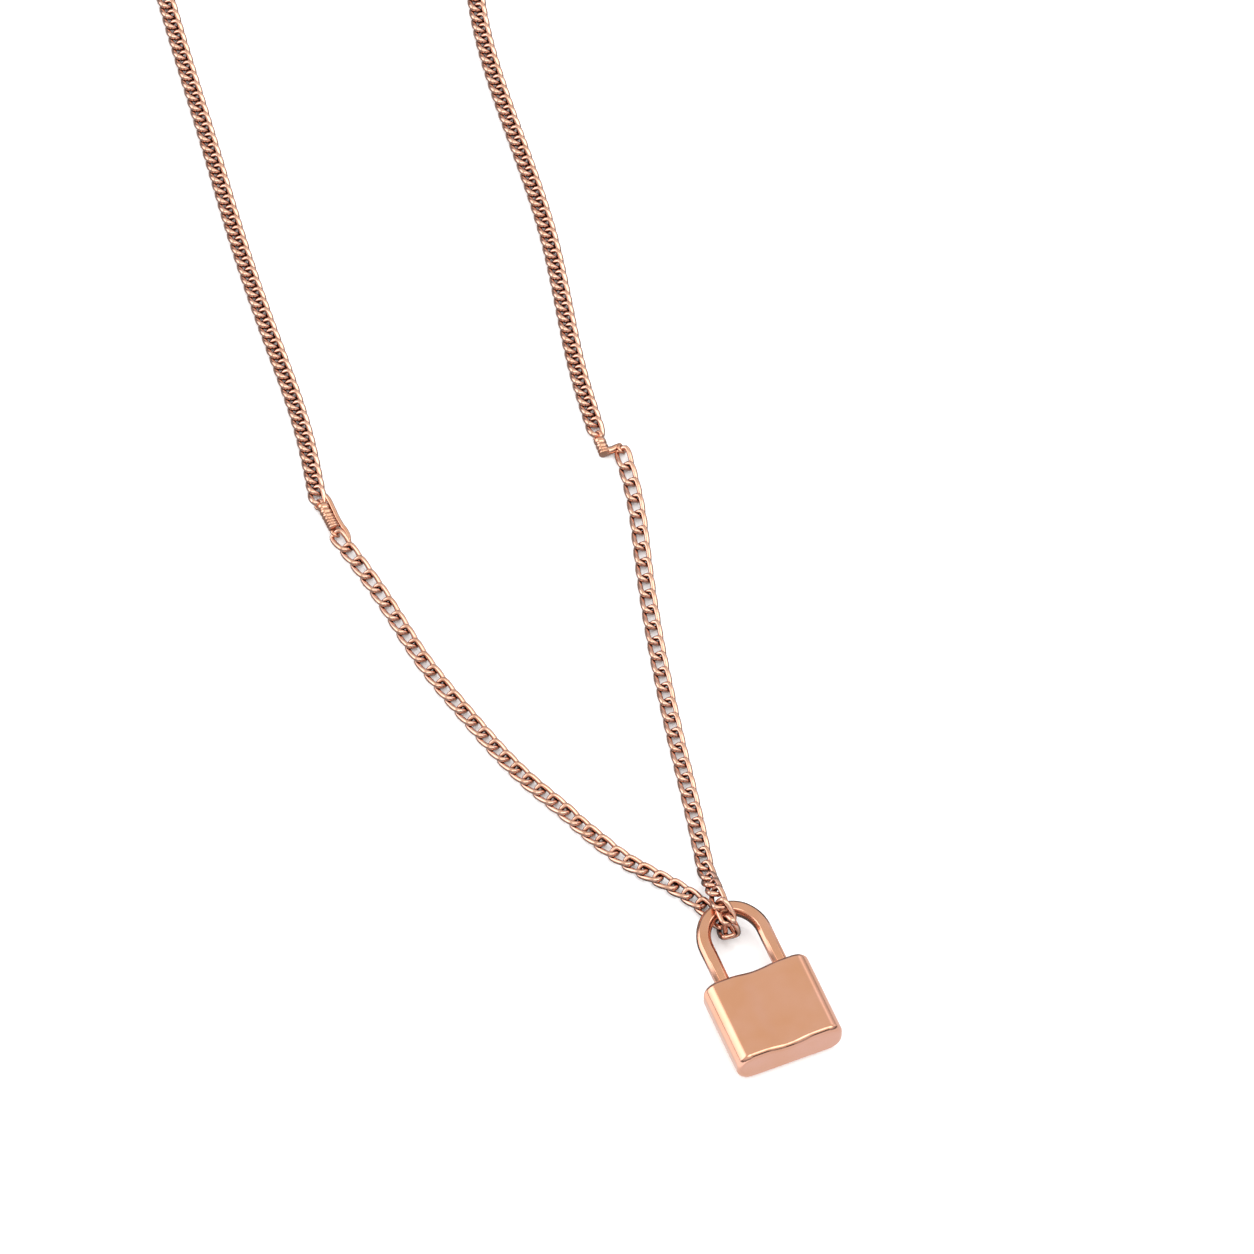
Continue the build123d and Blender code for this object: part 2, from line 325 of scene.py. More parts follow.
def place_on(middle: Vector, along: Vector, up: Vector) -> Matrix:
    """Frame whose Z runs along a wire and whose X is square to it.

    Args:
        middle: Where the frame stands.
        along: Direction of the wire there.
        up: Direction that the frame's Y leans to.

    Returns:
        The frame as a matrix.
    """
    axis_z = along.normalized()
    axis_x = up.cross(axis_z).normalized()
    axis_y = axis_z.cross(axis_x)
    turn = Matrix((axis_x, axis_y, axis_z)).transposed().to_4x4()
    return Matrix.Translation(middle) @ turn


def draw_wire(bm: bmesh.types.BMesh, places: list[Matrix], radius: float, sides: int, closed: bool) -> None:
    """Draws round wire through frames by extruding one circle from each to the next.

    Args:
        bm: The mesh it is added to.
        places: The frames, in order.
        radius: Radius of the wire.
        sides: Sides of its section.
        closed: Whether its end meets its start.
    """
    ring = bmesh.ops.create_circle(bm, segments=sides, radius=radius, matrix=places[0])["verts"]
    first = list(ring)
    targets = places[1:] + (places[:1] if closed else [])
    for before, after in zip(places, targets):
        held = set(ring)
        edges = list({edge for vert in ring for edge in vert.link_edges if edge.other_vert(vert) in held})
        grown = bmesh.ops.extrude_edge_only(bm, edges=edges)["geom"]
        ring = [item for item in grown if isinstance(item, bmesh.types.BMVert)]
        bmesh.ops.transform(bm, matrix=after @ before.inverted(), verts=ring)
    if closed:
        # The last circle lies on the first.
        bmesh.ops.remove_doubles(bm, verts=first + ring, dist=radius * 0.05)
    else:
        for end in (first, ring):
            bmesh.ops.contextual_create(bm, geom=end)


def draw_bar(bm: bmesh.types.BMesh, points: tuple[Knot, ...], sides: int) -> None:
    """Draws a round bar that runs smoothly through points and takes each one's radius.

    Args:
        bm: The mesh it is added to.
        points: Place and radius of each point, in order.
        sides: Sides of its section.
    """
    knots = [Vector(point) for point in points]
    knots = [knots[0] * 2 - knots[1], *knots, knots[-1] * 2 - knots[-2]]
    line = []
    for a, b, c, d in zip(knots, knots[1:], knots[2:], knots[3:]):
        # A Catmull-Rom curve from b to c.
        for t in (step / BAR_STEPS for step in range(BAR_STEPS)):
            pull = (c - a) * t + (a * 2 - b * 5 + c * 4 - d) * t**2 + (b * 3 - a - c * 3 + d) * t**3
            line.append(b + pull / 2)
    line.append(knots[-2])
    places = []
    for i, spot in enumerate(line):
        way = line[min(i + 1, len(line) - 1)] - line[max(i - 1, 0)]
        places.append(place_on(spot.to_3d(), way.to_3d(), UP) @ Matrix.Scale(spot.w, 4))
    draw_wire(bm, places, 1.0, sides, closed=False)


def round_off(bm: bmesh.types.BMesh, geom: list, affect: str, radius: float, steps: int) -> None:
    """Rounds corners or edges of a mesh, each to an arc.

    Args:
        bm: The mesh.
        geom: The vertices or edges to round.
        affect: "VERTICES" or "EDGES".
        radius: How far from each the arc starts.
        steps: Facets along the arc.
    """
    bmesh.ops.bevel(bm, geom=geom, offset=radius, segments=steps, profile=0.5, affect=affect, material=-1)


def finish_mesh(bm: bmesh.types.BMesh, name: str) -> bpy.types.Object:
    """Turns a mesh in millimetres to an object in metres, smooth shaded, with its faces outwards.

    Args:
        bm: The mesh, which is freed.
        name: Name of the piece.

    Returns:
        The new object, standing at the origin and riding on the body.
    """
    bmesh.ops.recalc_face_normals(bm, faces=bm.faces)
    bmesh.ops.scale(bm, vec=(MM, MM, MM), verts=bm.verts)
    for face in bm.faces:
        face.smooth = True
    mesh = bpy.data.meshes.new(name)
    bm.to_mesh(mesh)
    bm.free()
    piece = bpy.data.objects.new(name, mesh)
    bpy.context.scene.collection.objects.link(piece)
    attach(piece, BODY)
    LOG.info("%s: %d faces", name, len(mesh.polygons))
    return piece


def round_over(piece: bpy.types.Object) -> None:
    """Rounds a piece's cage with one level of a subdivision surface, shown and rendered alike."""
    rounding = piece.modifiers.new("round", "SUBSURF")
    rounding.levels = 1
    rounding.render_levels = 1


def keep_flats(piece: bpy.types.Object) -> None:
    """Keeps the large flats of a bevelled piece flat in its shading."""
    weighted = piece.modifiers.new("flats", "WEIGHTED_NORMAL")
    weighted.mode = "FACE_AREA"
    weighted.weight = LARGE_FACES_WEIGHT


@dataclass
class LockCase:
    """The small cast case: a prism with round sides, a flat back, a waist down its front and two sockets.

    Attributes:
        width: Across the front.
        height: From bottom to top.
        depth: From back to front.
        back_round: Radius of the long edges at the back.
        front_round: Radius of the long edges at the front.
        waist_depth: How deep the waist dips.
        waist_half: Half the width of the waist.
        end_round: Radius of the edges round both ends.
        socket: Width and depth of a socket's mouth.
        socket_round: Corner radius of the mouth.
        socket_deep: Depth of a socket.
        corner_steps: Facets round a corner of the section.
        end_steps: Facets across an end's edge.
        mouth_steps: Facets round a corner of the mouth.
        waist_cuts: How often the front is cut across to take the waist.
    """

    width: float = 13.5
    height: float = 11.5
    depth: float = 4.9
    back_round: float = 1.85
    front_round: float = 2.05
    waist_depth: float = 0.5
    waist_half: float = 3.2
    end_round: float = 0.7
    socket: tuple[float, float] = (1.85, 1.7)
    socket_round: float = 0.45
    socket_deep: float = 2.5
    corner_steps: int = 10
    end_steps: int = 7
    mouth_steps: int = 4
    waist_cuts: int = 23

    def waist_dip(self, across: float) -> float:
        """Depth of the waist at a distance across from the middle."""
        if abs(across) >= self.waist_half:
            return 0.0
        return self.waist_depth * (1 + math.cos(math.pi * across / self.waist_half)) / 2

    def outline(self, bm: bmesh.types.BMesh) -> None:
        """Draws the case's section as one face at its bottom end.

        Args:
            bm: The mesh it is drawn in.
        """
        half = self.width / 2
        bottom = -self.height / 2
        corners = [(-half, 0.0), (half, 0.0), (half, self.depth), (-half, self.depth)]
        verts = [bm.verts.new((x, bottom, z)) for x, z in corners]
        bm.faces.new(verts)
        for pair, radius in ((verts[:2], self.back_round), (verts[2:], self.front_round)):
            round_off(bm, pair, "VERTICES", radius, self.corner_steps)
        front = self.depth - TOUCH
        flat = [e for e in bm.edges if all(v.co.z > front for v in e.verts)]
        bmesh.ops.subdivide_edges(bm, edges=flat, cuts=self.waist_cuts)
        for vert in bm.verts:
            if vert.co.z > front:
                vert.co.z -= self.waist_dip(vert.co.x)

    def sockets(self) -> bpy.types.Object:
        """Makes the two plugs that are cut away for the shackle's legs.

        Returns:
            One object with both plugs.
        """
        bm = bmesh.new()
        across, deep = self.socket[0] / 2, self.socket[1] / 2
        floor = self.height / 2 - self.socket_deep
        for side in (-1, 1):
            middle = side * LEG_SPACING / 2
            corners = [(-across, -deep), (across, -deep), (across, deep), (-across, deep)]
            verts = [bm.verts.new((middle + x, floor, LEG_HEIGHT + z)) for x, z in corners]
            bm.faces.new(verts)
            round_off(bm, verts, "VERTICES", self.socket_round, self.mouth_steps)
        grown = bmesh.ops.extrude_face_region(bm, geom=bm.faces[:])["geom"]
        ends = [item for item in grown if isinstance(item, bmesh.types.BMVert)]
        # The plugs stand out of the top, which leaves the mouths open.
        bmesh.ops.translate(bm, vec=(0, self.socket_deep + 1, 0), verts=ends)
        return finish_mesh(bm, "socket_plugs")

    def build(self, dresser: Dresser) -> None:
        """Builds the case and dresses it.

        Args:
            dresser: Gives the finish.
        """
        bm = bmesh.new()
        self.outline(bm)
        grown = bmesh.ops.extrude_face_region(bm, geom=bm.faces[:])["geom"]
        top = [item for item in grown if isinstance(item, bmesh.types.BMVert)]
        bmesh.ops.translate(bm, vec=(0, self.height, 0), verts=top)
        bmesh.ops.recalc_face_normals(bm, faces=bm.faces)
        rims = [e for e in bm.edges if abs(e.verts[0].co.y - e.verts[1].co.y) < TOUCH]
        round_off(bm, rims, "EDGES", self.end_round, self.end_steps)
        case = finish_mesh(bm, "lock_case")
        plugs = self.sockets()
        cut = case.modifiers.new("sockets", "BOOLEAN")
        cut.operation = "DIFFERENCE"
        cut.solver = "EXACT"
        cut.object = plugs
        bpy.context.view_layer.update()
        graph = bpy.context.evaluated_depsgraph_get()
        case.data = bpy.data.meshes.new_from_object(case.evaluated_get(graph))
        case.data.name = "lock_case"
        case.modifiers.clear()
        bpy.data.objects.remove(plugs)
        keep_flats(case)
        dresser.dress(case, Finish.CAST_POLISHED)
        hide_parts("lock_body")


@dataclass
class Shackle:
    """The bow: one bar of rounded rectangular section, bent round three arcs, with its feet in the sockets.

    Attributes:
        foot_y: Where the feet end, inside the case.
        spring_y: Where the legs end and the arch begins.
        crown_y: Where the bar's middle is at the top of the arch.
        bar: Width and depth of the bar.
        chamfer: How far each long edge is cut back.
        chamfer_round: Radius that the buffing left on each side of the cut.
        side_radius: Radius of the arch's side arcs.
        top_radius: Radius of its top arc.
        haunch: Angle where the arcs meet, in degrees.
        side_steps: Sections round a side arc.
        top_steps: Sections round the top arc.
    """

    foot_y: float = 3.3
    spring_y: float = 11.6
    crown_y: float = 15.8
    bar: tuple[float, float] = (1.75, 1.6)
    chamfer: float = 0.4
    chamfer_round: float = 0.09
    side_radius: float = 4.637
    top_radius: float = 3.413
    haunch: float = 40.0
    side_steps: int = 8
    top_steps: int = 20

    def bend(self, bm: bmesh.types.BMesh, ring: list, middle: Vector, angle: float, steps: int) -> list:
        """Bends the bar on round a middle.

        Args:
            bm: The mesh.
            ring: The section's vertices and edges at the bar's present end.
            middle: Middle of the bend.
            angle: How far it turns, in degrees.
            steps: Sections along the bend.

        Returns:
            The vertices and edges at the bar's new end.
        """
        spun = bmesh.ops.spin(
            bm, geom=ring, cent=middle, axis=-UP, angle=math.radians(angle), steps=steps, use_merge=False
        )
        return spun["geom_last"]

    def run(self, bm: bmesh.types.BMesh, ring: list, way: Vector) -> list:
        """Runs the bar straight on.

        Args:
            bm: The mesh.
            ring: The section's vertices and edges at the bar's present end.
            way: How far it runs.

        Returns:
            The vertices and edges at the bar's new end.
        """
        edges = [item for item in ring if isinstance(item, bmesh.types.BMEdge)]
        grown = bmesh.ops.extrude_edge_only(bm, edges=edges)["geom"]
        verts = [item for item in grown if isinstance(item, bmesh.types.BMVert)]
        bmesh.ops.translate(bm, vec=way, verts=verts)
        held = set(verts)
        return verts + list({e for v in verts for e in v.link_edges if e.other_vert(v) in held})

    def build(self, dresser: Dresser) -> None:
        """Builds the shackle and dresses it.

        Args:
            dresser: Gives the finish.
        """
        bm = bmesh.new()
        half = LEG_SPACING / 2
        across, deep = self.bar[0] / 2, self.bar[1] / 2
        corners = [(-across, -deep), (across, -deep), (across, deep), (-across, deep)]
        verts = [bm.verts.new((x - half, self.foot_y, z + LEG_HEIGHT)) for x, z in corners]
        bm.faces.new(verts)
        for offset, segments in ((self.chamfer, 1), (self.chamfer_round, 2)):
            round_off(bm, bm.verts[:], "VERTICES", offset, segments)
        ring = bm.verts[:] + bm.edges[:]
        up = Vector((0, self.spring_y - self.foot_y, 0))
        ring = self.run(bm, ring, up)
        left = Vector((self.side_radius - half, self.spring_y, LEG_HEIGHT))
        right = Vector((half - self.side_radius, self.spring_y, LEG_HEIGHT))
        crown = Vector((0, self.crown_y - self.top_radius, LEG_HEIGHT))
        ring = self.bend(bm, ring, left, self.haunch, self.side_steps)
        ring = self.bend(bm, ring, crown, 180 - 2 * self.haunch, self.top_steps)
        ring = self.bend(bm, ring, right, self.haunch, self.side_steps)
        ring = self.run(bm, ring, -up)
        bmesh.ops.contextual_create(bm, geom=[item for item in ring if isinstance(item, bmesh.types.BMVert)])
        shackle = finish_mesh(bm, "shackle_bow")
        keep_flats(shackle)
        dresser.dress(shackle, Finish.DRAWN_BAR)
        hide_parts("shackle")


@dataclass(frozen=True)
class Link:
    """One curb link: a wire ring pulled long and twisted, so that its ends lean opposite ways.

    Attributes:
        wire: Thickness of the wire.
        reach: From the link's middle to the middle of the wire at its end.
        half: From the link's middle to the middle of the wire at its side.
        twist: How far each end is twisted from the middle, in degrees.
        quarter: Points of a quarter of the cage, each how far short of the reach and its share of the half
            width, placed so that the rounded wire meets the link's sizes.
        sides: Sides of the wire's cage.
    """

    wire: float
    reach: float
    half: float
    twist: float
    quarter: tuple[tuple[float, float], ...] = ((0.67, 0.99), (0.05, 0.93), (-0.025, 0.0))
    sides: int = 6

    def outline(self) -> list[tuple[float, float]]:
        """Lists the cage's points round the untwisted link, in order."""
        quarter = [(0.0, self.half)]
        quarter += [(self.reach - short, self.half * share) for short, share in self.quarter]
        upper = [(-x, y) for x, y in quarter[:0:-1]] + quarter
        lower = [(x, -y) for x, y in upper[-2:0:-1]]
        return upper + lower

    def places(self) -> list[Matrix]:
        """Frames along the twisted wire, in order round the link."""
        flat = self.outline()
        turns = [Matrix.Rotation(math.radians(self.twist) * x / self.reach, 3, "X") for x, _ in flat]
        points = [turn @ Vector((x, y, 0)) for turn, (x, y) in zip(turns, flat)]
        frames = []
        for i, point in enumerate(points):
            along = points[(i + 1) % len(points)] - points[i - 1]
            frames.append(place_on(point, along, turns[i] @ UP))
        return frames

    def mesh(self) -> bpy.types.Mesh:
        """Makes the link's cage once, in millimetres, its length along X."""
        bm = bmesh.new()
        draw_wire(bm, self.places(), self.wire / 2 / ROUNDED_HEXAGON, self.sides, closed=True)
        bmesh.ops.recalc_face_normals(bm, faces=bm.faces)
        mesh = bpy.data.meshes.new("link_cage")
        bm.to_mesh(mesh)
        bm.free()
        return mesh


@dataclass
class Chain:
    """A run of curb chain, its links where the CAD's links lie.

    Attributes:
        node: The CAD node it stands for.
        links: How many links that node has.
        link: The link's sizes.
        lift: How far the thicker wire raises a link that rests on the table.
    """

    node: str
    links: int
    link: Link
    lift: float = 0.0

    def seats(self, cad: bpy.types.Object) -> list[Matrix]:
        """Finds each CAD link's middle and axes from its own vertices, which follow each other link by link.

        Args:
            cad: The CAD node's object.

        Returns:
            One frame a link, in millimetres: X along it and Z out of its flat.
        """
        spots = np.zeros(len(cad.data.vertices) * 3)
        cad.data.vertices.foreach_get("co", spots)
        spots = spots.reshape(self.links, -1, 3) / MM
        found = []
        for own in spots:
            middle = own.mean(axis=0)
            # The axes come by how far the link spreads along them, the least first.
            _, axes = np.linalg.eigh(np.cov((own - middle).T))
            along, flat = Vector(axes[:, 2]), Vector(axes[:, 0])
            turn = Matrix((along, flat.cross(along), flat)).transposed().to_4x4()
            found.append(Matrix.Translation(Vector(middle) + Vector((0, 0, self.lift))) @ turn)
        return found

    def build(self, dresser: Dresser, cad: bpy.types.Object) -> None:
        """Builds the chain, every link joined in one piece, and dresses it.

        Args:
            dresser: Gives the finish.
            cad: The CAD node's object.
        """
        pattern = self.link.mesh()
        bm = bmesh.new()
        for seat in self.seats(cad):
            before = len(bm.verts)
            bm.from_mesh(pattern)
            bm.verts.ensure_lookup_table()
            bmesh.ops.transform(bm, matrix=seat, verts=bm.verts[before:])
        chain = finish_mesh(bm, self.node + "_links")
        bpy.data.meshes.remove(pattern)
        round_over(chain)
        dresser.dress(chain, Finish.TUMBLED_WIRE)
        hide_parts(self.node)


@dataclass
class CoilEnd:
    """A small ribbed end between the finer chain and the coarser: a barrel, a horn and an eye at each end.

    Attributes:
        node: The CAD node it stands for.
        top: Middle of the barrel's upper end.
        bottom: Middle of its lower end.
        horn: Place and radius of the horn's points, from inside the barrel to the lower eye.
        upper_eye: Middle of the eye above.
        upper_pull: Plan direction in which the chain leaves it.
        lower_eye: Middle of the eye below.
        lower_pull: Plan direction in which the chain leaves it.
        radius: Radius over the ribs.
        groove: How deep the grooves are.
        pitch: Between the ribs, at the barrel's upper end and at its lower one.
        lean: How far a rib leans along the barrel for each millimetre across it, at both ends.
        wire: Thickness of the eyes' wire.
        eyes: Radius of the upper eye and of the lower one, to the middle of the wire.
        eye_lean: How far the eyes lean from upright, in degrees, square to the links' twisted ends.
        rail: Place and radius of the points of the wire soldered down the barrel's side, or none.
        crowding: How soon along the barrel the ribs get to their lower pitch, 1 being at its end.
        fullness: How round a rib is, 0 being square and 1 a plain wave.
        calm: Length at each end of the barrel over which the ribs come upright.
        rib_steps: Sections of a rib.
        barrel_sides: Facets round the barrel.
        eye_steps: Sections round an eye.
        bar_sides: Facets round the horn, the rail and the eyes' wire.
    """

    node: str
    top: Point
    bottom: Point
    horn: tuple[Knot, ...]
    upper_eye: Point
    upper_pull: Point
    lower_eye: Point
    lower_pull: Point
    radius: float = 0.75
    groove: float = 0.2
    pitch: tuple[float, float] = (0.85, 0.38)
    lean: tuple[float, float] = (0.25, 0.1)
    wire: float = 0.4
    eyes: tuple[float, float] = (0.55, 0.515)
    eye_lean: float = -45.0
    rail: tuple[Knot, ...] = ()
    crowding: float = 1.6
    fullness: float = 0.45
    calm: float = 0.3
    rib_steps: int = 6
    barrel_sides: int = 24
    eye_steps: int = 16
    bar_sides: tuple[int, int, int] = (14, 10, 10)

    def rim(self, length: float) -> list[tuple[float, float]]:
        """Lists the ribs' outline, from the barrel's cut end up.

        Args:
            length: Length of the barrel.

        Returns:
            Radius and distance from the barrel's upper end of each point.
        """
        wide, narrow = self.pitch
        grooves = [0.0]
        while grooves[-1] < length - narrow / 2:
            share = min(1.0, grooves[-1] / length * self.crowding)
            grooves.append(grooves[-1] + wide + (narrow - wide) * share)
        stretch = length / grooves[-1]
        floor = self.radius - self.groove
        points = [(floor, length)]
        for start, end in reversed(list(zip(grooves, grooves[1:]))):
            for k in range(self.rib_steps - 1, -1, -1):
                swell = math.sin(math.pi * k / self.rib_steps) ** self.fullness
                depth = (start + (end - start) * k / self.rib_steps) * stretch
                points.append((floor + self.groove * swell, depth))
        return points

    def barrel(self, bm: bmesh.types.BMesh) -> None:
        """Turns the ribbed barrel, its ribs closer together towards its cut end, and leans them.

        Args:
            bm: The mesh it is added to.
        """
        top, bottom = Vector(self.top), Vector(self.bottom)
        run = bottom - top
        outline = [bm.verts.new((0, 0, run.length))]
        outline += [bm.verts.new((radius, 0, depth)) for radius, depth in self.rim(run.length)]
        outline.append(bm.verts.new((0, 0, 0)))
        edges = [bm.edges.new(pair) for pair in zip(outline, outline[1:])]
        bmesh.ops.spin(
            bm,
            geom=outline + edges,
            cent=(0, 0, 0),
            axis=UP,
            angle=math.tau,
            steps=self.barrel_sides,
            use_merge=True,
        )
        bmesh.ops.remove_doubles(bm, verts=bm.verts, dist=TOUCH)
        for vert in bm.verts:
            share = min(1.0, max(0.0, vert.co.z / run.length))
            held = max(0.0, min(1.0, vert.co.z / self.calm, (run.length - vert.co.z) / self.calm))
            vert.co.z += (self.lean[0] + (self.lean[1] - self.lean[0]) * share) * vert.co.x * held
        bmesh.ops.transform(bm, matrix=place_on(top, run, UP), verts=bm.verts)

    def eye(self, bm: bmesh.types.BMesh, middle: Vector, pull: Vector, radius: float) -> None:
        """Bends one eye of wire, square to the link's end that hangs in it.

        Args:
            bm: The mesh it is added to.
            middle: Middle of the eye.
            pull: Plan direction in which the chain leaves it.
            radius: Radius to the middle of the wire.
        """
        turn = math.radians(self.eye_lean)
        lean = UP.cross(pull) * math.sin(turn) + UP * math.cos(turn)
        axis = pull.cross(lean)
        places = []
        for i in range(self.eye_steps):
            angle = math.tau * i / self.eye_steps
            out = pull * math.cos(angle) + lean * math.sin(angle)
            places.append(place_on(middle + out * radius, axis.cross(out), axis))
        draw_wire(bm, places, self.wire / 2, self.bar_sides[2], closed=True)

    def build(self, dresser: Dresser) -> None:
        """Builds the ribbed end and dresses it.

        Args:
            dresser: Gives the finish.
        """
        bm = bmesh.new()
        self.barrel(bm)
        draw_bar(bm, self.horn, self.bar_sides[0])
        if self.rail:
            draw_bar(bm, self.rail, self.bar_sides[1])
        self.eye(bm, Vector(self.upper_eye), Vector(self.upper_pull), self.eyes[0])
        self.eye(bm, Vector(self.lower_eye), Vector(self.lower_pull), self.eyes[1])
        piece = finish_mesh(bm, self.node + "_ribbed")
        dresser.dress(piece, Finish.WOUND_RIBS)
        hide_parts(self.node)


@dataclass(frozen=True)
class MattCard:
    """Matt white card for the table: next to no gloss, and a faint mottle of its fibres.

    Attributes:
        dark: sRGB hex of the mottle's darker spots.
        pale: sRGB hex of its paler ones.
        roughness: How far it blurs a reflection.
        gloss: Its specular level.
        fibre: Size of the mottle, in millimetres.
    """

    dark: str = "F6F6F6"
    pale: str = "F9F9F9"
    roughness: float = 0.9
    gloss: float = 0.1
    fibre: float = 2.5

    def material(self) -> bpy.types.Material:
        """Builds the material's nodes."""
        material = bpy.data.materials.new("MattWhiteCard")
        material.use_nodes = True
        tree = material.node_tree
        shader = tree.nodes["Principled BSDF"]
        shader.inputs["Roughness"].default_value = self.roughness
        shader.inputs["Specular IOR Level"].default_value = self.gloss
        place = add_node(tree, "ShaderNodeTexCoord").outputs["Object"]
        fibres = add_node(
            tree,
            "ShaderNodeTexNoise",
            inputs={"Vector": place, "Scale": 1 / (self.fibre * MM), "Detail": 2.0},
        )
        colour = add_node(
            tree,
            "ShaderNodeMix",
            {"data_type": "RGBA"},
            {"Factor": fibres.outputs["Fac"], MIX_FIRST: linear(self.dark), MIX_SECOND: linear(self.pale)},
        )
        tree.links.new(colour.outputs[MIX_RESULT], shader.inputs["Base Color"])
        return material


@dataclass(frozen=True)
class Softbox:
    """A patch of the room that brightens or shades what the polished metal mirrors.

    Attributes:
        way: Direction in which it stands from the pendant.
        core: Half angle of its even middle, in degrees.
        edge: Half angle at which it has faded out, in degrees.
        strength: Light that it adds to the room, or takes from it.
    """

    way: Point
    core: float
    edge: float
    strength: float


@dataclass(frozen=True)
class ReflectorCard:
    """The card that lies on the table, seen only in the polished metal. Its parts fade into each other.

    Attributes:
        near: Brightness round the lock.
        left: Brightness out to the lock's left.
        behind: Brightness behind the lock.
        along: Brightness along the chain.
        left_fade: X of the fade from the left part to the near one.
        back_fade: Y of the fade from the near part to the one behind.
        back_half: Half the width over which that fade runs straight across.
        back_slant: How far it runs back for each millimetre beyond that width.
        chain_fade: Y of the fade to the part along the chain.
        drop: How far the card lies under the table's top, so that the two sheets don't meet.
    """

    near: float = 0.97
    left: float = 1.5
    behind: float = 0.12
    along: float = 0.35
    left_fade: tuple[float, float] = (-12.0, -7.5)
    back_fade: tuple[float, float] = (7.0, 13.0)
    back_half: float = 8.0
    back_slant: float = 1.2
    chain_fade: tuple[float, float] = (20.0, 32.0)
    drop: float = 0.2


